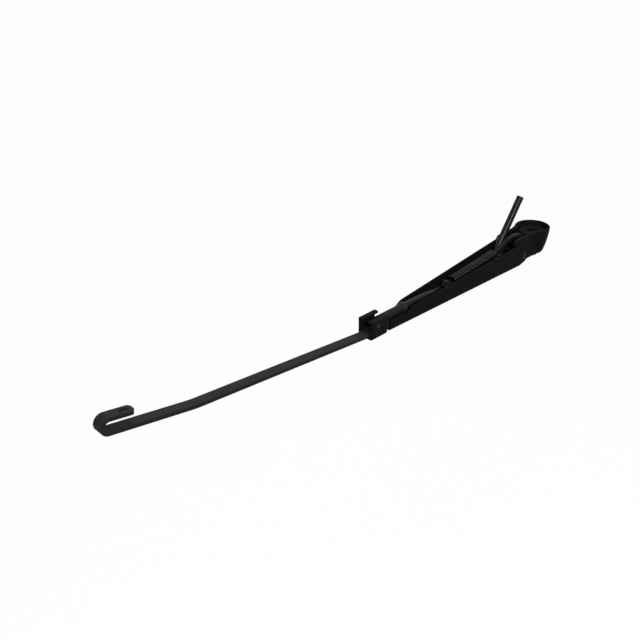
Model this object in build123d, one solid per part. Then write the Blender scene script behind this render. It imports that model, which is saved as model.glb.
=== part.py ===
import os
from math import asin, cos, pi, radians, sin, sqrt, tan

from build123d import *

# Wiper arm lying on its back: +X runs from the spindle to the blade hook, +Z faces the glass.
# Heights are measured from the back plane of the arm channel.
# The exported origin is the centre of the spindle bore at its glass side mouth.

# Flat bar of the wiper rod
bar_width = 9.2
bar_thick = 3.3
bar_edge = 0.35
lift_x = 247.0
lift_slope = 5.416
knee_x = 434.8
knee_slope = 10.455
hook_x = 501.6
hook_gap = 7.0
hook_tip_x = 481.0
tip_round = 3.5
bar_bend = 100.0
bar_slot = (7.0, 2.7)
bar_slot_x = 488.0

# Lug on the inner end of the bar
lug_x = 146.0
lug_width = 4.2
lug_top = 16.4
lug_bend = 4.5
lug_shoulder_x = 168.0
lug_round = 2.0

# Folded channel
sheet = 1.5
bend_in = 1.6
channel_end_x = 232.0
channel_end_half = 7.46
channel_taper = 0.03535
low_wall_z = 9.6
step_low_x = 209.5
step_high_x = 201.5
step_z = 13.7
step_round = 7.0
corner_round = 2.2
ear_x = 43.5
ear_z = 23.75
ear_round = 3.0
hinge_end_r = 8.4
web_end_x = 43.0
blank_low_x = 20.0
blank_high_x = 240.0
blank_top_z = 30.0

# Hinge between head and channel
hinge_x = 36.7
hinge_z = 11.6
rivet_r = 3.0
rivet_head_r = 4.75
rivet_head_h = 1.6
rivet_hole_gap = 0.05
spot_gap = 0.2
spot_depth = 0.1
bush_r = 4.5
bush_flange_r = 6.2
bush_flange = 0.6
bush_play = 0.04
bush_wall_gap = 0.25

# Mounting head
seat_z = 24.0
rim_z = 29.0
rim_r = 17.6
bowl_mid = (16.3, 16.6)
bowl_foot_r = 12.0
head_back_z = 1.0
bowl_foot_round = 5.0
rim_round = 0.7
rim_wall = 1.8
boss_r = 13.4
moat_z = 18.0
moat_width = 0.6
spindle_r = 5.5
spindle_seat = 14.0
thread_r = 4.2
cheek_out = 11.6
cheek_in = 8.9
cheek_front_x = 49.0
cheek_round = 4.0
cheek_sole_round = 4.0
heel_x = 46.5
heel_z = 1.8
heel_round = 1.5
toe_x = 41.0
sole_x = 33.0
slot_floor_z = 5.0
slot_floor_end_x = 29.0
fairing_r = 40.0
fairing_draft = 10.0

# Cross bar and link
cross_x = 24.5
cross_z = 21.4
cross_r = 2.5
link_play = 0.05
link_width = 4.2
link_bar = 3.0
link_hook_r = 5.75
link_hook_from = 60.0
link_hook_to = 250.0
link_mouth_steps = 4
link_arch = (42.0, 27.2)
eye_x = 62.0
eye_r = 4.2
eye_hole_r = 2.2

# Tension spring, on one line through the cross bar, the eye and the lug
spring_slope = 4.71
wire_r = 1.1
coil_r = 4.4
coil_turns = 24
coil_start_x = 69.8
coil_end_x = 137.6
notch_depth = 0.6
notch_play = 0.05
leg_end_gap = 2.6
elbow_r = 1.16

# Rivets of the bar
bar_rivet_xs = (180.0, 219.0)
bar_rivet_r = 2.5
bar_rivet_head_r = 4.0
bar_rivet_head_h = 1.5
bar_rivet_sink_r = 3.8

# Washer jet clip
clip_low_x = 238.0
clip_high_x = 256.5
clip_near_y = 8.2
clip_far_y = -8.0
clip_wall = 2.0
clip_floor_z = 0.3
clip_near_top = 17.1
clip_far_top = 17.6
clip_lip = 1.6
clip_block_in = 2.2
clip_lip_in = -4.0
clip_lip_over = 1.7
clip_block_end_x = 252.0
clip_floor_top = 5.9
clip_round = 2.4
clip_front_round = 2.6
clip_end_wall = 3.0
clip_bar_gap = 0.1
groove_x = 243.2
groove_width = 1.0
groove_depth = 0.6
groove_low_z = 3.4

# Jet nozzle and water way
jet_x = 249.5
jet_z = 12.5
jet_r = 1.7
jet_depth = 2.6
jet_stand = 0.5
jet_hole_r = 0.4
water_r = 0.9
water_y = 4.6

# Hose connector
hose_z = 11.65
hose_r = 3.0
hose_bore_r = 1.8
tube_r = 4.0
tube_low_x = 206.0
tube_high_x = 236.6
socket_end_x = 216.0
spigot_r = 2.2
spigot_end_x = 240.2
tube_round = 0.8
ferrule_wall = 0.75
ferrule_low_x = 206.6
ferrule_high_x = 209.8
ferrule_round = 0.6

# Hose route: straight in the connector, down past the lug, along the web's far corner, out past the link
hose_points = (
    (socket_end_x, 0.0, hose_z),
    (174.0, 0.0, hose_z),
    (150.0, -5.8, 5.6),
    (110.0, -6.0, 4.62),
    (62.5, -6.56, 4.6),
    (24.1, -3.5, 64.6),
)
hose_exit_radius = 20.0
hose_run_share = 0.45

frame_shift = Pos(0, 0, -seat_z)
far = 60.0


def half_width(x):
    return channel_end_half + channel_taper * (channel_end_x - x)


def spring_z(x):
    return cross_z - tan(radians(spring_slope)) * (x - cross_x)


def lug_loop_x():
    return lug_x + bar_thick / 2 - notch_depth + wire_r


def along_y(x, z, radius, low_y, high_y):
    post = extrude(Circle(radius), high_y - low_y)
    return Plane(origin=(x, low_y, z), z_dir=(0, 1, 0)) * post


def along_z(x, radius, low_z, high_z):
    return Pos(x, 0, low_z) * extrude(Circle(radius), high_z - low_z)


def along_x(y, z, radius, low_x, high_x):
    post = extrude(Circle(radius), high_x - low_x)
    return Plane(origin=(low_x, y, z), z_dir=(1, 0, 0)) * post


def block(low, high):
    size = [b - a for a, b in zip(low, high)]
    return Pos(*low) * Box(*size, align=Align.MIN)


def dome(radius, height):
    ball = (radius**2 + height**2) / (2 * height)
    half = asin(radius / ball) / 2
    mid = (ball * sin(half), height - ball + ball * cos(half))
    outline = Line((0, 0), (radius, 0)) + Line((0, height), (0, 0))
    outline += ThreePointArc((radius, 0), mid, (0, height))
    return revolve(Plane.XZ * make_face(outline.edges()), Axis.Z)


def nearest(shape, x, z):
    return shape.vertices().sort_by_distance((x, z, 0))[0]


def bar_line():
    mid_z = sheet + bar_thick / 2
    knee_z = mid_z + tan(radians(lift_slope)) * (knee_x - lift_x)
    slope = radians(knee_slope)
    hook_z = knee_z + tan(slope) * (hook_x - knee_x)
    bend = (hook_gap + bar_thick) / 2
    runs = FilletPolyline(
        (lug_x, lug_top), (lug_x, mid_z), (lift_x, mid_z), (knee_x, knee_z), (hook_x, hook_z),
        radius=[lug_bend, bar_bend, bar_bend],
    )
    turn = JernArc((hook_x, hook_z), (cos(slope), sin(slope)), bend, 180)
    arm_end = (turn @ 1).X
    back = (arm_end - hook_tip_x) / cos(slope)
    tip = (hook_tip_x, (turn @ 1).Y - back * sin(slope))
    return runs, turn, Line(turn @ 1, tip)


def swept_bar(grow):
    runs, turn, arm = bar_line()
    path = Plane.XZ * Wire(runs.edges() + turn.edges() + arm.edges())
    start = Plane(origin=path @ 0, x_dir=(0, 1, 0), z_dir=path % 0)
    section = RectangleRounded(bar_width + 2 * grow, bar_thick + 2 * grow, bar_edge)
    return sweep(start * section, path=path)


def wiper_rod():
    bar = swept_bar(0)
    arm = bar_line()[2]
    slope = radians(knee_slope)
    along, across = (cos(slope), 0, sin(slope)), (-sin(slope), 0, cos(slope))
    tip = Plane(origin=(hook_tip_x, 0, (arm @ 1).Y), x_dir=along, z_dir=across)
    rounded = Pos(bar_width, 0) * RectangleRounded(2 * bar_width, bar_width, tip_round)
    corners = Rectangle(2 * tip_round, 2 * bar_width) - rounded
    bar -= extrude(tip * corners, bar_thick, both=True)
    slot_at = (bar_slot_x - hook_tip_x) / cos(slope)
    bar -= extrude(tip * Pos(slot_at, 0) * SlotOverall(*bar_slot), bar_thick, both=True)
    side = bar_width - lug_width / 2
    length = lug_shoulder_x - lug_x + bar_width
    trim = RectangleRounded(length, side, lug_round)
    for way in (-1, 1):
        place = Pos(lug_shoulder_x - length / 2, way * (lug_width + side) / 2)
        bar -= extrude(place * trim, far)
    for x in bar_rivet_xs:
        bar -= along_z(x, bar_rivet_r, 0, 2 * bar_thick + sheet)
    saddle_x = lug_loop_x() - coil_r * cos(radians(spring_slope))
    tilt = radians(spring_slope)
    saddle = Plane(origin=(saddle_x, 0, spring_z(saddle_x)), z_dir=(sin(tilt), 0, cos(tilt)))
    return bar - saddle * Torus(coil_r, wire_r + notch_play)


def rod_rivets():
    top = sheet + bar_thick
    rivets = []
    for x in bar_rivet_xs:
        shank = along_z(x, bar_rivet_r, 0, top)
        sink = Pos(x, 0, sheet / 2) * Cone(bar_rivet_sink_r, bar_rivet_r, sheet)
        rivets.append(shank + sink + Pos(x, 0, top) * dome(bar_rivet_head_r, bar_rivet_head_h))
    return Compound(children=[rivet.solid() for rivet in rivets])


def tapered_block(inset, floor_z, bend):
    low = half_width(blank_low_x) - inset
    high = half_width(blank_high_x) - inset
    plan = Polygon(
        (blank_low_x, low), (blank_low_x, -low), (blank_high_x, -high), (blank_high_x, high), align=None,
    )
    blank = extrude(Pos(0, 0, floor_z) * plan, blank_top_z)
    folds = blank.edges().group_by(Axis.Z)[0].sort_by(SortBy.LENGTH)[-2:]
    return fillet(folds, bend)


def side_outline():
    wall = Polygon(
        (channel_end_x, -sheet), (channel_end_x, low_wall_z), (step_low_x, low_wall_z),
        (step_high_x, step_z), (ear_x, ear_z), (hinge_x, hinge_z), (hinge_x, hinge_z - hinge_end_r),
        (web_end_x, 0), (web_end_x, -sheet), align=None,
    )
    wall = fillet(nearest(wall, channel_end_x, low_wall_z), corner_round)
    wall = fillet(nearest(wall, step_low_x, low_wall_z), step_round)
    wall = fillet(nearest(wall, step_high_x, step_z), step_round)
    eye = Pos(hinge_x, hinge_z) * Circle(hinge_end_r)
    ear = Pos(ear_x, ear_z - ear_round) * Circle(ear_round)
    return wall + make_hull(eye.edges() + ear.edges())


def spot_y():
    return half_width(hinge_x) - channel_taper * (rivet_head_r + spot_gap) - spot_depth


def arm_channel():
    folded = tapered_block(0, 0, bend_in + sheet) - tapered_block(sheet, sheet, bend_in)
    folded &= extrude(Plane.XZ * side_outline(), far, both=True)
    web_half = half_width(web_end_x) - sheet
    folded -= block((0, -web_half, -sheet), (web_end_x, web_half, bend_in + sheet))
    folded -= along_y(hinge_x, hinge_z, rivet_r + rivet_hole_gap, -far, far)
    for way in (-1, 1):
        near, away = sorted((way * spot_y(), way * far))
        folded -= along_y(hinge_x, hinge_z, rivet_head_r + spot_gap, near, away)
    for x in bar_rivet_xs:
        folded -= Pos(x, 0, sheet / 2) * Cone(bar_rivet_sink_r, bar_rivet_r, sheet)
    return folded


def hinge_rivet():
    pin = along_y(hinge_x, hinge_z, rivet_r, -spot_y(), spot_y())
    for way in (-1, 1):
        seat = Plane(origin=(hinge_x, way * spot_y(), hinge_z), z_dir=(0, way, 0))
        pin += seat * dome(rivet_head_r, rivet_head_h)
    return pin


def bush_end():
    return half_width(hinge_x + bush_flange_r) - sheet - bush_wall_gap


def hinge_bushes():
    bushes = []
    for way in (-1, 1):
        seat = Plane(origin=(hinge_x, way * cheek_in, hinge_z), z_dir=(0, way, 0))
        length = bush_end() - cheek_in
        sleeve = extrude(Circle(bush_r), length)
        sleeve += Pos(0, 0, length - bush_flange) * extrude(Circle(bush_flange_r), bush_flange)
        sleeve -= extrude(Circle(rivet_r + bush_play), length)
        bushes.append(seat * sleeve)
    return Compound(children=[bush.solid() for bush in bushes])


def bowl_half():
    foot = (bowl_foot_r, head_back_z)
    rim = (rim_r, rim_z)
    outline = Line((0, head_back_z), foot) + ThreePointArc(foot, bowl_mid, rim)
    outline += Line(rim, (0, rim_z)) + Line((0, rim_z), (0, head_back_z))
    half = make_face(outline.edges())
    half = fillet(nearest(half, *foot), bowl_foot_round)
    return fillet(nearest(half, *rim), rim_round)


def cup_recess():
    wall_r = rim_r - rim_wall
    half = Polygon(
        (0, seat_z), (boss_r, seat_z), (boss_r, moat_z), (boss_r + moat_width, moat_z), (wall_r, rim_z),
        (wall_r, rim_z + rim_wall), (0, rim_z + rim_wall), align=None,
    )
    return revolve(Plane.XZ * half, Axis.Z)


def cheek_block():
    section = Polygon(
        (-cheek_out, head_back_z), (cheek_out, head_back_z), (cheek_out, rim_z), (-cheek_out, rim_z),
        align=None,
    )
    for way in (-1, 1):
        section = fillet(nearest(section, way * cheek_out, head_back_z), cheek_sole_round)
    side = Polygon(
        (0, rim_z), (cheek_front_x, rim_z), (heel_x, heel_z), (toe_x, heel_z), (sole_x, head_back_z),
        (0, head_back_z), align=None,
    )
    side = fillet(nearest(side, cheek_front_x, rim_z), cheek_round)
    side = fillet(nearest(side, heel_x, heel_z), heel_round)
    return extrude(Plane.YZ * section, far) & extrude(Plane.XZ * side, far, both=True)


def fairing():
    centre_y = cheek_out + fairing_r
    reach = sqrt((rim_r + fairing_r) ** 2 - centre_y**2)
    wide = rim_r * centre_y / (rim_r + fairing_r)
    plan = Pos(reach / 2, 0) * Rectangle(reach, 2 * wide)
    for way in (-1, 1):
        plan -= Pos(reach, way * centre_y) * Circle(fairing_r)
    flank = extrude(Pos(0, 0, rim_z) * plan, head_back_z - rim_z, taper=fairing_draft)
    section = bowl_half() + mirror(bowl_half(), about=Plane.YZ)
    return flank & extrude(Plane.YZ * section, far)


def mounting_head():
    head = revolve(Plane.XZ * bowl_half(), Axis.Z) + cheek_block() + fairing()
    head -= cup_recess()
    slot = block((0, -cheek_in, slot_floor_z), (far, cheek_in, far)) - along_z(0, boss_r, 0, seat_z)
    slot += block((slot_floor_end_x, -cheek_in, -far), (far, cheek_in, slot_floor_z))
    head -= slot
    head += along_y(cross_x, cross_z, cross_r, -cheek_in, cheek_in)
    boss_y = bush_end() - bush_flange
    for way in (-1, 1):
        near, away = sorted((way * cheek_in, way * boss_y))
        head += along_y(hinge_x, hinge_z, bush_flange_r, near, away)
    head -= along_y(hinge_x, hinge_z, bush_r, -far, far)
    head -= along_z(0, spindle_r, seat_z - spindle_seat, seat_z)
    return head - along_z(0, thread_r, 0, seat_z)


def spring_link():
    hook = Circle(link_hook_r) - Circle(cross_r + link_play)
    mouth = [(0, 0)]
    opening = 360 + link_hook_from - link_hook_to
    for step in range(link_mouth_steps + 1):
        turn = radians(link_hook_to + step * opening / link_mouth_steps)
        mouth.append((2 * link_hook_r * cos(turn), 2 * link_hook_r * sin(turn)))
    hook -= Polygon(*mouth, align=None)
    top = (cross_x, cross_z + link_hook_r - link_bar / 2)
    eye = (eye_x, spring_z(eye_x))
    side = Pos(cross_x, cross_z) * hook + SlotArc(ThreePointArc(top, link_arch, eye), link_bar)
    side += Pos(*eye) * Circle(eye_r)
    side -= Pos(*eye) * Circle(eye_hole_r)
    side -= Pos(cross_x, cross_z) * Circle(cross_r + link_play)
    return extrude(Plane.XZ * side, link_width / 2, both=True)


def loop(leg, end_leg):
    arc = Wire([
        Edge.make_line((coil_r, 0, 0), (coil_r, 0, leg)),
        Edge.make_three_point_arc((coil_r, 0, leg), (0, 0, leg + coil_r), (-coil_r, 0, leg)),
        Edge.make_line((-coil_r, 0, leg), (-coil_r, 0, end_leg)),
    ])
    wire = sweep(Plane(origin=arc @ 0, z_dir=arc % 0) * Circle(wire_r), path=arc)
    return wire + Pos(coil_r, 0, 0) * Sphere(elbow_r)


def half_spring(height, leg):
    path = Helix(pitch=2 * height / coil_turns, height=height, radius=coil_r)
    coil = sweep(Plane(origin=path @ 0, z_dir=path % 0) * Circle(wire_r), path=path, is_frenet=True)
    return coil + Pos(0, 0, height) * loop(leg, leg_end_gap)


def tension_spring():
    slope = radians(spring_slope)
    ahead = (cos(slope), 0, -sin(slope))
    mid_x = (coil_start_x + coil_end_x) / 2
    half = (coil_end_x - mid_x) / cos(slope)
    eye_leg = (coil_start_x - eye_x) / cos(slope) - coil_r
    lug_leg = (lug_loop_x() - coil_end_x) / cos(slope) - coil_r
    spring = half_spring(half, lug_leg) + Rot(180, 0, 0) * half_spring(half, eye_leg)
    return Plane(origin=(mid_x, 0, spring_z(mid_x)), x_dir=(0, 1, 0), z_dir=ahead) * spring


def clip_blank():
    section = Polygon(
        (clip_far_y, clip_floor_z), (clip_near_y, clip_floor_z), (clip_near_y, clip_near_top),
        (clip_far_y, clip_near_top), align=None,
    )
    for y in (clip_far_y, clip_near_y):
        section = fillet(nearest(section, y, clip_floor_z), clip_round)
    plan = Polygon(
        (clip_low_x, clip_far_y), (clip_high_x, clip_far_y), (clip_high_x, clip_near_y),
        (clip_low_x, clip_near_y), align=None,
    )
    plan = fillet(nearest(plan, clip_high_x, clip_near_y), clip_front_round)
    return extrude(Plane.YZ * section, clip_high_x) & extrude(plan, far)


def clip_boss():
    inside = clip_low_x + clip_end_wall
    boss = along_x(0, hose_z, tube_r, clip_low_x, inside)
    return boss + block((clip_low_x, -tube_r, clip_floor_z), (inside, clip_block_in, hose_z))


def jet_clip():
    roof = clip_near_top - clip_lip
    end = clip_high_x + clip_wall
    body = clip_blank()
    body -= block((clip_low_x, clip_far_y + clip_wall, clip_floor_top), (end, clip_block_in, roof))
    body -= block((clip_low_x, clip_lip_in, roof), (end, clip_block_in, far))
    body -= block((clip_block_end_x, clip_block_in, clip_floor_top), (end, clip_near_y - clip_wall, roof))
    body += block((clip_low_x - clip_lip_over, clip_far_y, roof), (clip_high_x, clip_lip_in, clip_far_top))
    body += clip_boss()
    body -= swept_bar(clip_bar_gap)
    body -= block(
        (groove_x - groove_width / 2, clip_near_y - groove_depth, groove_low_z),
        (groove_x + groove_width / 2, clip_near_y + groove_depth, roof),
    )
    body -= along_x(0, hose_z, spigot_r, clip_low_x, spigot_end_x)
    turn_x = clip_low_x + clip_end_wall / 2
    body -= along_y(turn_x, hose_z, water_r, 0, water_y)
    body -= along_x(water_y, hose_z, water_r, turn_x, jet_x)
    body -= along_y(jet_x, jet_z, water_r, water_y, clip_near_y)
    return body - along_y(jet_x, jet_z, jet_r, clip_near_y - jet_depth, clip_near_y)


def jet_nozzle():
    plug = along_y(jet_x, jet_z, jet_r, clip_near_y - jet_depth, clip_near_y)
    plug += Plane(origin=(jet_x, clip_near_y, jet_z), z_dir=(0, 1, 0)) * dome(jet_r, jet_stand)
    return plug - along_y(jet_x, jet_z, jet_hole_r, clip_near_y - jet_depth, clip_near_y + jet_stand)


def hose_connector():
    tube = along_x(0, hose_z, tube_r, tube_low_x, tube_high_x)
    tube = fillet(tube.edges().group_by(Axis.X)[-1], tube_round)
    tube += along_x(0, hose_z, spigot_r, tube_high_x, spigot_end_x)
    tube -= along_x(0, hose_z, hose_r, tube_low_x, socket_end_x)
    return tube - along_x(0, hose_z, water_r, socket_end_x, spigot_end_x)


def hose_ferrule():
    ring = along_x(0, hose_z, tube_r + ferrule_wall, ferrule_low_x, ferrule_high_x)
    ring = fillet(ring.edges(), ferrule_round)
    return ring - along_x(0, hose_z, tube_r, ferrule_low_x, ferrule_high_x)


def hose_radii():
    points = [Vector(*point) for point in hose_points]
    radii = []
    for before, here, after in zip(points, points[1:], points[2:]):
        turn = radians((here - before).get_angle(after - here))
        shorter = min((here - before).length, (after - here).length)
        radii.append(hose_run_share * shorter / tan(turn / 2))
    radii[-1] = hose_exit_radius
    return radii


def washer_hose():
    path = FilletPolyline(*hose_points, radius=hose_radii())
    start = Plane(origin=path @ 0, z_dir=path % 0)
    hose = sweep(start * (Circle(hose_r) - Circle(hose_bore_r)), path=path)
    section = pi * (hose_r**2 - hose_bore_r**2)
    print("hose radii", [round(radius, 1) for radius in hose_radii()])
    share = hose.volume / (section * path.length)
    print("hose length", round(path.length, 2), "volume share", round(share, 4))
    return hose


pieces = {
    "mounting_head": mounting_head,
    "hinge_bushes": hinge_bushes,
    "hinge_rivet": hinge_rivet,
    "spring_link": spring_link,
    "tension_spring": tension_spring,
    "arm_channel": arm_channel,
    "wiper_rod": wiper_rod,
    "rod_rivets": rod_rivets,
    "jet_clip": jet_clip,
    "jet_nozzle": jet_nozzle,
    "hose_connector": hose_connector,
    "hose_ferrule": hose_ferrule,
    "washer_hose": washer_hose,
}

os.makedirs("parts", exist_ok=True)
for name, make in pieces.items():
    piece = frame_shift * make()
    print(name, len(piece.solids()), "solids", round(piece.volume, 1), "mm3", "valid", piece.is_valid)
    export_step(piece, f"parts/{name}.step")
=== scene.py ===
import math

import bmesh
import bpy
import numpy as np
from mathutils import Matrix, Vector


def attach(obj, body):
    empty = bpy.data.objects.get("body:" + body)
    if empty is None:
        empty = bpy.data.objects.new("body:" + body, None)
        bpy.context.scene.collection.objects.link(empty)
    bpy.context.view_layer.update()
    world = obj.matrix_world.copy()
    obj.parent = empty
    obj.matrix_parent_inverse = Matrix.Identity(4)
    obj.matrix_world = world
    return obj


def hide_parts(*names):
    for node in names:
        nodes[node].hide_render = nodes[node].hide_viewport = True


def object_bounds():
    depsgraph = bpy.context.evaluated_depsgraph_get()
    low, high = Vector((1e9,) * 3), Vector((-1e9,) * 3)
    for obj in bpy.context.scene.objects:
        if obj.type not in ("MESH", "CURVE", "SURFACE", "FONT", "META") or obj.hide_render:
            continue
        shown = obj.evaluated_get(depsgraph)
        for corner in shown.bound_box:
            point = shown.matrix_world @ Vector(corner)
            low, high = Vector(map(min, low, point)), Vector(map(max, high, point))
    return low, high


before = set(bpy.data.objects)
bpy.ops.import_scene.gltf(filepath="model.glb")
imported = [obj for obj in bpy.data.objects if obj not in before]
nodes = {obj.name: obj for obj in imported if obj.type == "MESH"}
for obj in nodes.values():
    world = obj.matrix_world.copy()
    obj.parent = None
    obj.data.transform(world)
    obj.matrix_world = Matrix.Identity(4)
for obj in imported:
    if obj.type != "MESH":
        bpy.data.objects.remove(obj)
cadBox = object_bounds()
scene = bpy.context.scene
print("frame loaded:", len(nodes), "nodes")

coolTint = 1.03
plainWhite = (1, 1, 1, 1)
bevelSamples = 6
fineDetail = 2.0
noiseMiddle = 0.5
wearLeast = 0.5


class Sock:
    # a socket that takes part in Python sums, where each operator adds one Math node
    # made without a socket, it stands for the tree alone
    def __init__(self, tree, socket=None):
        self.tree = tree
        self.socket = socket

    def node(self, kind, settings, inputs, output=0):
        # settings go on the node first, then values or links go into its sockets
        made = self.tree.nodes.new(kind)
        for name, value in settings.items():
            setattr(made, name, value)
        for name, value in inputs.items():
            if isinstance(value, Sock):
                self.tree.links.new(value.socket, made.inputs[name])
            else:
                made.inputs[name].default_value = value
        return Sock(self.tree, made.outputs[output]) if made.outputs else None

    def calc(self, operation, *values):
        return self.node("ShaderNodeMath", {"operation": operation}, dict(enumerate(values)))

    def __add__(self, other):
        return self.calc("ADD", self, other)

    def __sub__(self, other):
        return self.calc("SUBTRACT", self, other)

    def __rsub__(self, other):
        return self.calc("SUBTRACT", other, self)

    def __mul__(self, other):
        return self.calc("MULTIPLY", self, other)

    __radd__ = __add__
    __rmul__ = __mul__

    def clamp(self):
        return self.node("ShaderNodeClamp", {}, {"Value": self})

    def smooth(self, low, high):
        return self.node(
            "ShaderNodeMapRange", {"interpolation_type": "SMOOTHSTEP"},
            {"Value": self, "From Min": low, "From Max": high},
        )


def grey(value):
    return (value, value, value * coolTint, 1)


def newMaterial(name):
    material = bpy.data.materials.new(name)
    material.use_nodes = True
    material.node_tree.nodes.clear()
    return material, Sock(material.node_tree)


def objectPoint(bench, stretch=(1, 1, 1), turn=(0, 0, 0), centre=(0, 0, 0)):
    # Object coordinates moved to the piece's centre, turned and stretched
    point = bench.node("ShaderNodeTexCoord", {}, {}, "Object")
    moved = bench.node("ShaderNodeVectorMath", {"operation": "SUBTRACT"}, {0: point, 1: centre})
    inputs = {"Vector": moved, "Rotation": turn, "Scale": stretch}
    return bench.node("ShaderNodeMapping", {}, inputs)


def noise(point, scale, detail=3.0):
    inputs = {"Vector": point, "Scale": scale, "Detail": detail}
    return point.node("ShaderNodeTexNoise", {}, inputs, "Fac")


def mixColour(share, first, second):
    # the colour sockets of a Mix node are its inputs 6 and 7 and its output 2
    return share.node("ShaderNodeMix", {"data_type": "RGBA"}, {0: share, 6: first, 7: second}, 2)


def edgeMask(bench, radius, gain):
    # one minus the dot product of the rounded and the flat normal: bright on sharp edges only
    flat = bench.node("ShaderNodeNewGeometry", {}, {}, "Normal")
    rounded = bench.node("ShaderNodeBevel", {"samples": bevelSamples}, {"Radius": radius})
    lean = bench.node(
        "ShaderNodeVectorMath", {"operation": "DOT_PRODUCT"}, {0: flat, 1: rounded}, "Value",
    )
    return ((1 - lean) * gain).clamp(), rounded


def finishShader(bench, colour, rough, height, normal, look):
    bump = bench.node(
        "ShaderNodeBump", {},
        {
            "Strength": look["bump"], "Distance": look["bumpDepth"],
            "Height": height, "Normal": normal,
        },
    )
    shader = bench.node(
        "ShaderNodeBsdfPrincipled", {},
        {
            "Base Color": colour, "Roughness": rough.clamp(), "Normal": bump,
            "Specular IOR Level": look["gloss"],
        },
    )
    bench.node("ShaderNodeOutputMaterial", {}, {"Surface": shader})


def paintedMetal(name, look):
    # black coat: large cloudiness, fine orange peel, and a paler colour on sharp edges that is
    # both wear where the coat thins and a painted edge highlight
    material, bench = newMaterial(name)
    point = objectPoint(bench, look.get("stretch", (1, 1, 1)))
    cloud = noise(point, look["cloudScale"])
    peel = noise(point, look["peelScale"], fineDetail)
    edge, rounded = edgeMask(bench, look["edge"], look["edgeGain"])
    coat = mixColour(cloud, look["dark"], look["light"])
    # paler colour on sharp edges: wear and a painted edge highlight
    wearAndSheen = edge * (wearLeast + cloud * (1 - wearLeast))
    colour = mixColour(wearAndSheen, coat, look["wearAndSheen"])
    rough = look["rough"] + (cloud - noiseMiddle) * look["roughSpread"]
    rough = rough + (peel - noiseMiddle) * look["peelRough"]
    finishShader(bench, colour, rough, peel, rounded, look)
    return material


def mouldedPlastic(name, look):
    # spark-eroded grain with faint flow clouds, smoother on the moulded edges
    material, bench = newMaterial(name)
    point = objectPoint(bench)
    cloud = noise(point, look["cloudScale"])
    inputs = {"Vector": point, "Scale": look["grainScale"]}
    grain = bench.node("ShaderNodeTexVoronoi", {}, inputs, "Distance")
    edge, rounded = edgeMask(bench, look["edge"], look["edgeGain"])
    mottle = cloud * look["cloudShare"] + grain * (1 - look["cloudShare"])
    skin = mixColour(mottle, look["dark"], look["light"])
    # paler colour on sharp edges: wear and a painted edge highlight
    colour = mixColour(edge, skin, look["wearAndSheen"])
    rough = look["rough"] + (cloud - noiseMiddle) * look["roughSpread"] - edge * look["edgePolish"]
    finishShader(bench, colour, rough, grain, rounded, look)
    return material


def springWire(name, look):
    # oiled wire: painted shade on the wire's inner side, towards the coil's hollow; its outer
    # crests are smoother and paler, polish with a painted sheen
    # the distance from the spring's axis tells the two apart
    material, bench = newMaterial(name)
    point = objectPoint(bench, turn=(0, look["slope"], 0), centre=look["centre"])
    across, up = [
        point.node("ShaderNodeSeparateXYZ", {}, {"Vector": point}, axis) for axis in ("Y", "Z")
    ]
    squared = across * across + up * up
    radius = squared.calc("SQRT", squared)
    crestPolishAndPaintedLight = radius.smooth(look["coilRadius"], look["coilRadius"] + look["wireRadius"])
    stain = noise(point, look["stainScale"])
    drawn = noise(point, look["drawnScale"], fineDetail)
    oiled = mixColour(stain, look["dark"], look["light"])
    # the inner side keeps the darker oiled colour as painted shade, the outer crests take the
    # paler colour as a painted sheen
    colour = mixColour(crestPolishAndPaintedLight * (wearLeast + stain * (1 - wearLeast)), oiled, look["wearAndSheen"])
    rough = look["rough"] + (stain - noiseMiddle) * look["roughSpread"]
    rough = rough - crestPolishAndPaintedLight * look["crestPolish"]
    flat = bench.node("ShaderNodeNewGeometry", {}, {}, "Normal")
    finishShader(bench, colour, rough, drawn, flat, look)
    return material


def hoseRubber(name, look):
    # extruded rubber: fine ripple, dull bloom in patches
    material, bench = newMaterial(name)
    point = objectPoint(bench)
    bloom = noise(point, look["bloomScale"])
    ripple = noise(point, look["rippleScale"], fineDetail)
    colour = mixColour(bloom, look["dark"], look["light"])
    rough = look["rough"] + (bloom - noiseMiddle) * look["roughSpread"]
    flat = bench.node("ShaderNodeNewGeometry", {}, {}, "Normal")
    finishShader(bench, colour, rough, ripple, flat, look)
    return material


def dress(material, *names):
    for name in names:
        mesh = nodes[name].data
        mesh.materials.clear()
        mesh.materials.append(material)
        mesh.polygons.foreach_set("material_index", np.zeros(len(mesh.polygons), np.int32))


# each finish's worn colour goes on its sharp edges as wear and a painted edge highlight; on the
# spring it goes on the outer crests as polish and a painted sheen
headCoat = {
    "dark": grey(0.0066), "light": grey(0.0088), "wearAndSheen": grey(0.018), "gloss": 0.01,
    "rough": 0.52, "roughSpread": 0.14, "peelRough": 0.1, "cloudScale": 60, "peelScale": 1300,
    "edge": 0.0005, "edgeGain": 2.0, "bump": 0.25, "bumpDepth": 0.0002,
}
channelCoat = {
    "dark": grey(0.0060), "light": grey(0.0080), "wearAndSheen": grey(0.02), "gloss": 0.01,
    "rough": 0.48, "roughSpread": 0.1, "peelRough": 0.1, "cloudScale": 45, "peelScale": 1100,
    "edge": 0.0003, "edgeGain": 2.0, "bump": 0.18, "bumpDepth": 0.00015,
}
barCoat = {
    "dark": grey(0.015), "light": grey(0.021), "wearAndSheen": grey(0.034), "gloss": 0.03,
    "rough": 0.46, "roughSpread": 0.12, "peelRough": 0.1, "cloudScale": 40, "peelScale": 1200,
    "stretch": (0.25, 1, 1), "edge": 0.0003, "edgeGain": 1.5, "bump": 0.15, "bumpDepth": 0.00012,
}
linkCoat = dict(barCoat, dark=grey(0.010), light=grey(0.016))
rivetCoat = dict(
    channelCoat, cloudScale=260, peelScale=1600, edge=0.0002, edgeGain=1.5, gloss=0.06,
)
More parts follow.
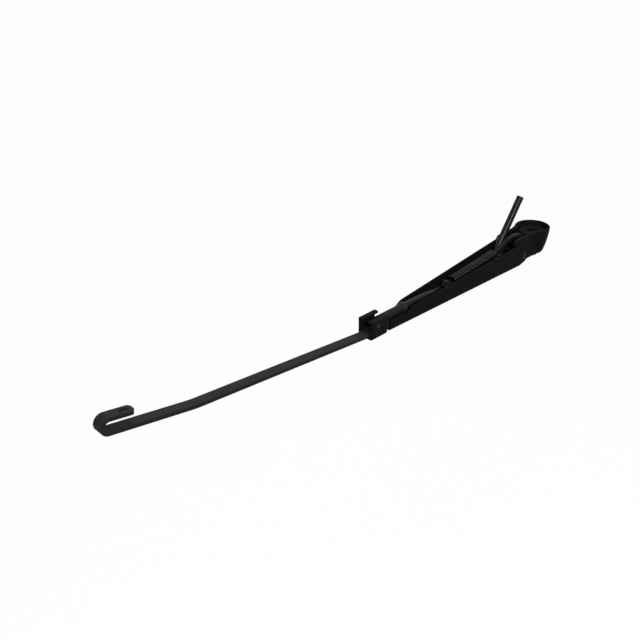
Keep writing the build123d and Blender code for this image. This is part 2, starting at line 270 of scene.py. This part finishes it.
clipGrain = {
    "dark": grey(0.005), "light": grey(0.009), "wearAndSheen": grey(0.022), "gloss": 0.02,
    "rough": 0.56, "roughSpread": 0.1, "cloudScale": 90, "grainScale": 2600, "cloudShare": 0.6,
    "edge": 0.0004, "edgeGain": 1.2, "edgePolish": 0.1, "bump": 0.3, "bumpDepth": 0.00012,
}
jetGrain = dict(clipGrain, rough=0.3, bump=0.08, gloss=0.2)
tubeGrain = dict(
    clipGrain, dark=grey(0.010), light=grey(0.015), rough=0.44, grainScale=2000, bump=0.15,
    gloss=0.04,
)
ferruleGrain = dict(tubeGrain, dark=grey(0.014), light=grey(0.02), rough=0.3, gloss=0.1)
bushGrain = dict(clipGrain, dark=grey(0.02), light=grey(0.028), rough=0.4, bump=0.08)
# the spring's darker inner side is painted shade and its paler crests a painted sheen
springOil = {
    "dark": grey(0.002), "light": grey(0.004), "wearAndSheen": grey(0.006), "gloss": 0.12,
    "rough": 0.22, "roughSpread": 0.1, "crestPolish": 0.06, "stainScale": 220, "drawnScale": 1800,
    "centre": (0.1037, 0, -0.00913), "slope": math.radians(-4.71),
    "coilRadius": 0.0044, "wireRadius": 0.0011, "bump": 0.12, "bumpDepth": 0.0001,
}

dress(paintedMetal("headCoat", headCoat), "mounting_head")
dress(paintedMetal("channelCoat", channelCoat), "arm_channel")
dress(paintedMetal("barCoat", barCoat), "wiper_rod")
dress(paintedMetal("linkCoat", linkCoat), "spring_link")
dress(paintedMetal("rivetCoat", rivetCoat), "hinge_rivet", "rod_rivets")
dress(springWire("springOil", springOil), "tension_spring")
dress(mouldedPlastic("clipGrain", clipGrain), "jet_clip")
dress(mouldedPlastic("jetGrain", jetGrain), "jet_nozzle")
dress(mouldedPlastic("tubeGrain", tubeGrain), "hose_connector")
dress(mouldedPlastic("ferruleGrain", ferruleGrain), "hose_ferrule")
dress(mouldedPlastic("bushGrain", bushGrain), "hinge_bushes")
print("coats on the CAD nodes")

# washer hose: control points of its route in metres, from the connector to the cut end
washerHose = {
    "route": [
        (0.2160, 0.0, -0.01235),
        (0.1740, 0.0, -0.01235),
        (0.1500, -0.0058, -0.0184),
        (0.1100, -0.0060, -0.01938),
        (0.0780, -0.00638, -0.01939),
        (0.0625, -0.00656, -0.0194),
        (0.0552, -0.00592, -0.0069),
        (0.0242, -0.00344, 0.0415),
    ],
    "radius": 0.0035,
    "boreRadius": 0.0018,
    "boreDepth": 0.008,
    "lip": 0.0002,
    "collar": 0.0006,
    "collarGrow": 1.01,
    "length": 0.2255,
    "roundSteps": 6,
    "spanSteps": 16,
    "rubber": {
        "dark": grey(0.004), "light": grey(0.007), "gloss": 0.11, "rough": 0.27,
        "roughSpread": 0.06, "bloomScale": 120, "rippleScale": 700,
        "bump": 0.06, "bumpDepth": 0.0001,
    },
}


def makeHose(look):
    curve = bpy.data.curves.new("washerHose", "CURVE")
    curve.dimensions = "3D"
    curve.bevel_depth = look["radius"]
    curve.bevel_resolution = look["roundSteps"]
    curve.resolution_u = look["spanSteps"]
    spline = curve.splines.new("NURBS")
    route = np.array(look["route"])
    spline.points.add(len(route) - 1)
    spline.points.foreach_set("co", np.c_[route, np.ones(len(route))].ravel())
    spline.order_u = 3
    spline.use_endpoint_u = True
    hose = bpy.data.objects.new("washerHose", curve)
    scene.collection.objects.link(hose)
    return hose


def turnedPiece(name, profile, origin, axis, around=48):
    # a profile of radius and height carried round the axis at equal angles
    # its two ends lie on the axis and become poles
    profile = np.array(profile, float)
    angle = np.linspace(0, 2 * math.pi, around, endpoint=False)
    ring = np.stack([np.cos(angle), np.sin(angle)], 1)
    rows = profile[1:-1]
    rims = rows[:, None, :1] * ring[None]
    heights = np.repeat(rows[:, None, 1:], around, 1)
    flat = np.concatenate([rims, heights], 2).reshape(-1, 3)
    poles = np.c_[np.zeros((2, 2)), profile[[0, -1], 1]]
    turn = np.array(Vector((0, 0, 1)).rotation_difference(Vector(axis)).to_matrix())
    points = np.concatenate([flat, poles]) @ turn.T + np.array(origin)
    row, column = np.meshgrid(np.arange(len(rows) - 1), np.arange(around), indexing="ij")
    beside = (column + 1) % around
    low, high = row * around, (row + 1) * around
    quads = np.stack([low + column, low + beside, high + beside, high + column], -1).reshape(-1, 4)
    first = np.arange(around)
    second = (first + 1) % around
    last = (len(rows) - 1) * around
    fans = np.concatenate([
        np.stack([first, np.full(around, len(flat)), second], 1),
        np.stack([last + first, last + second, np.full(around, len(flat) + 1)], 1),
    ])
    mesh = bpy.data.meshes.new(name)
    mesh.from_pydata(points.tolist(), [], quads.tolist() + fans.tolist())
    shell = bmesh.new()
    shell.from_mesh(mesh)
    bmesh.ops.recalc_face_normals(shell, faces=shell.faces)
    shell.to_mesh(mesh)
    shell.free()
    piece = bpy.data.objects.new(name, mesh)
    scene.collection.objects.link(piece)
    return piece


def makeCutEnd(look):
    # a collar over the hose's last edge, a square lip and a blind bore
    outer, inner = look["radius"] * look["collarGrow"], look["boreRadius"]
    depth, collar, lip = look["boreDepth"], look["collar"], look["lip"]
    proud, softEdge, mouthDrop, collarWall = lip / 10, lip / 4, lip / 6, 1.5 * lip
    core = outer - collarWall
    profile = [
        (0, -depth), (inner, -depth), (inner, -lip), (inner + lip / 2, -mouthDrop),
        (inner + lip, proud), (outer - softEdge, proud), (outer, -softEdge), (outer, -collar),
        (core, -collar), (core, -depth - lip), (0, -depth - lip),
    ]
    tip, before = Vector(look["route"][-1]), Vector(look["route"][-2])
    return turnedPiece("hoseCutEnd", profile, tip, (tip - before).normalized())


hose = makeHose(washerHose)
cutEnd = makeCutEnd(washerHose)
rubber = hoseRubber("hoseRubber", washerHose["rubber"])
for piece in (hose, cutEnd):
    piece.data.materials.append(rubber)
    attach(piece, "arm")
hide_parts("washer_hose")
print("hose laid")

# camera fitted to the photograph: 45 degrees across the square frame
photoView = {
    "place": (0.68196, 0.38416, 0.30092), "forward": (-0.61345, -0.63329, -0.47183),
    "up": (-0.34396, -0.32356, 0.88148), "angle": 45.0, "nearest": 0.01,
}


def makeCamera(look):
    forward = Vector(look["forward"]).normalized()
    right = forward.cross(Vector(look["up"])).normalized()
    up = right.cross(forward)
    camera = bpy.data.cameras.new("photoCamera")
    camera.sensor_fit = "HORIZONTAL"
    camera.angle = math.radians(look["angle"])
    camera.clip_start = look["nearest"]
    holder = bpy.data.objects.new("photoCamera", camera)
    turn = Matrix((right, up, -forward)).transposed().to_4x4()
    holder.matrix_world = Matrix.Translation(look["place"]) @ turn
    scene.collection.objects.link(holder)
    scene.camera = holder


makeCamera(photoView)

# a soft lamp overhead, and a small one whose glint runs along the hose
studio = {
    "floorSize": 24.0, "floorDrop": 0.35,
    "floorSeen": (0.95, 0.95, 0.95, 1), "floorBounce": (0.35, 0.35, 0.35, 1),
    "whiteShare": 0.97, "worldFill": 0.2,
    "lamps": [
        {
            "name": "topSoft", "place": (0.12, 0.05, 1.0), "aim": (0.12, 0, 0),
            "size": 0.8, "power": 7.5,
        },
        {
            "name": "frontGlint", "place": (0.78, 0.80, 0.59), "aim": (0.04, 0, 0.01),
            "size": 0.2, "power": 9,
        },
    ],
}


def seenDirectly(bench):
    # 1 for rays from the camera, a gloss or a clear body, so that they meet plain white
    kinds = ("Camera", "Glossy", "Transmission")
    rays = [bench.node("ShaderNodeLightPath", {}, {}, f"Is {kind} Ray") for kind in kinds]
    return (rays[0] + rays[1] + rays[2]).clamp()


def makeFloor(look):
    # the arm swings down past the head, so the floor lies below the lowest point of its travel
    low = cadBox[0][2] - look["floorDrop"]
    half = look["floorSize"] / 2
    mesh = bpy.data.meshes.new("floor")
    corners = [(-half, -half, low), (half, -half, low), (half, half, low), (-half, half, low)]
    mesh.from_pydata(corners, [], [(0, 1, 2, 3)])
    floor = bpy.data.objects.new("floor", mesh)
    scene.collection.objects.link(floor)
    material, bench = newMaterial("paleFloor")
    seen = seenDirectly(bench)
    colour = mixColour(seen, look["floorBounce"], look["floorSeen"])
    matte = bench.node("ShaderNodeBsdfDiffuse", {}, {"Color": colour})
    white = bench.node("ShaderNodeEmission", {}, {"Color": plainWhite, "Strength": 1.0})
    share = seen * look["whiteShare"]
    shade = bench.node("ShaderNodeMixShader", {}, {0: share, 1: matte, 2: white})
    bench.node("ShaderNodeOutputMaterial", {}, {"Surface": shade})
    mesh.materials.append(material)


def makeWorld(look):
    world = bpy.data.worlds.new("paleWorld")
    scene.world = world
    world.use_nodes = True
    world.node_tree.nodes.clear()
    bench = Sock(world.node_tree)
    strength = look["worldFill"] + seenDirectly(bench) * (1 - look["worldFill"])
    sky = bench.node("ShaderNodeBackground", {}, {"Color": plainWhite, "Strength": strength})
    bench.node("ShaderNodeOutputWorld", {}, {"Surface": sky})


def makeLamps(look):
    for lamp in look["lamps"]:
        light = bpy.data.lights.new(lamp["name"], "AREA")
        light.shape = "DISK"
        light.size = lamp["size"]
        light.energy = lamp["power"]
        holder = bpy.data.objects.new(lamp["name"], light)
        away = Vector(lamp["aim"]) - Vector(lamp["place"])
        turn = away.to_track_quat("-Z", "Y").to_matrix().to_4x4()
        holder.matrix_world = Matrix.Translation(lamp["place"]) @ turn
        scene.collection.objects.link(holder)


makeFloor(studio)
makeWorld(studio)
makeLamps(studio)
scene.view_settings.view_transform = "Standard"
print("studio lit")
